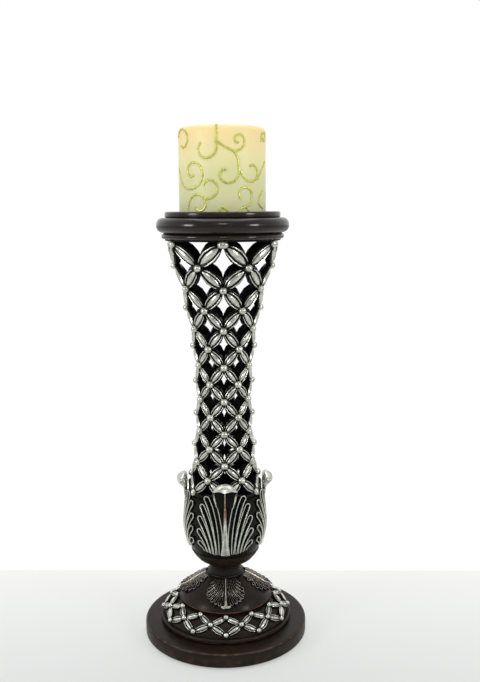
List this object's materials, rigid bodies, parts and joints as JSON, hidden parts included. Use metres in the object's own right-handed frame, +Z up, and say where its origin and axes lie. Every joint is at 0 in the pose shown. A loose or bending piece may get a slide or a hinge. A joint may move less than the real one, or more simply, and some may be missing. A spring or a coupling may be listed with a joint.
{
  "type": "torchere candle stand",
  "caption": "Tall candle stand with a round stepped foot, leaf bowl, flared open lattice column and moulded plate, holding a wax pillar candle with a battery flame.",
  "frame": {"origin": "centre of the underside of the felt pad, where the stand rests", "axes": "+Z up along the axis of the column, front (the side in the picture) towards -Y, +X to the viewer's right"},
  "size_m": [0.202, 0.202, 0.6202],
  "materials": {
    "felt": "short black felt",
    "bronze_brown": "hand-rubbed dark bronze lacquer on cast resin, satin, copper at the edges",
    "black_relief": "black lacquer on cast resin, satin",
    "espresso_gloss": "near-black espresso lacquer, glossy",
    "antique_silver": "antiqued silver leaf over black, worn in the hollows",
    "wax": "ivory wax, softly translucent, raised gold scrolls",
    "amber_flame": "translucent amber flame-shaped lens",
    "ivory_plastic": "moulded ivory ABS",
    "dark_plastic": "moulded black ABS",
    "cell_sleeve": "shrink sleeve, plain grey",
    "zinc_steel": "bright zinc plating"
  },
  "bodies": {
    "stand": {"felt_pad": "felt", "base_plinth": "bronze_brown", "base_tier": "bronze_brown", "base_trellis": "antique_silver", "base_dome": "bronze_brown", "foot_leaf_front": "antique_silver", "foot_leaf_right": "antique_silver", "foot_leaf_back": "antique_silver", "foot_leaf_left": "antique_silver", "neck": "bronze_brown", "leaf_bowl": "black_relief", "cup_leaf_front": "antique_silver", "cup_leaf_right": "antique_silver", "cup_leaf_back": "antique_silver", "cup_leaf_left": "antique_silver", "lattice_column": "antique_silver", "candle_plate": "espresso_gloss", "tie_rod": "zinc_steel", "rod_washer_lower": "zinc_steel", "rod_washer_upper": "zinc_steel", "rod_nut_lower": "zinc_steel", "rod_nut_upper": "zinc_steel", "column_screw_1": "zinc_steel", "column_screw_2": "zinc_steel", "column_screw_3": "zinc_steel", "plate_screw_1": "zinc_steel", "plate_screw_2": "zinc_steel", "plate_screw_3": "zinc_steel"},
    "candle": {"candle_shell": "wax", "led_flame": "amber_flame", "battery_case": "ivory_plastic", "cell_left": "cell_sleeve", "cell_right": "cell_sleeve", "top_contact_left": "zinc_steel", "top_contact_right": "zinc_steel"},
    "battery_cover": {"battery_cover": "ivory_plastic", "cover_contact": "zinc_steel"},
    "power_switch": {"power_switch": "dark_plastic"}
  },
  "joints": [
    {"name": "candle_lift", "type": "slide", "parent": "stand", "child": "candle", "axis": [0, 0, 1], "range_m": [0, 0.15]},
    {"name": "battery_cover_turn", "type": "hinge", "parent": "candle", "child": "battery_cover", "pos_m": [0, 0, 0.5237], "axis": [0, 0, 1], "range_deg": [0, 30]},
    {"name": "power_slide", "type": "slide", "parent": "candle", "child": "power_switch", "axis": [0, 1, 0], "range_m": [0, 0.003]}
  ]
}
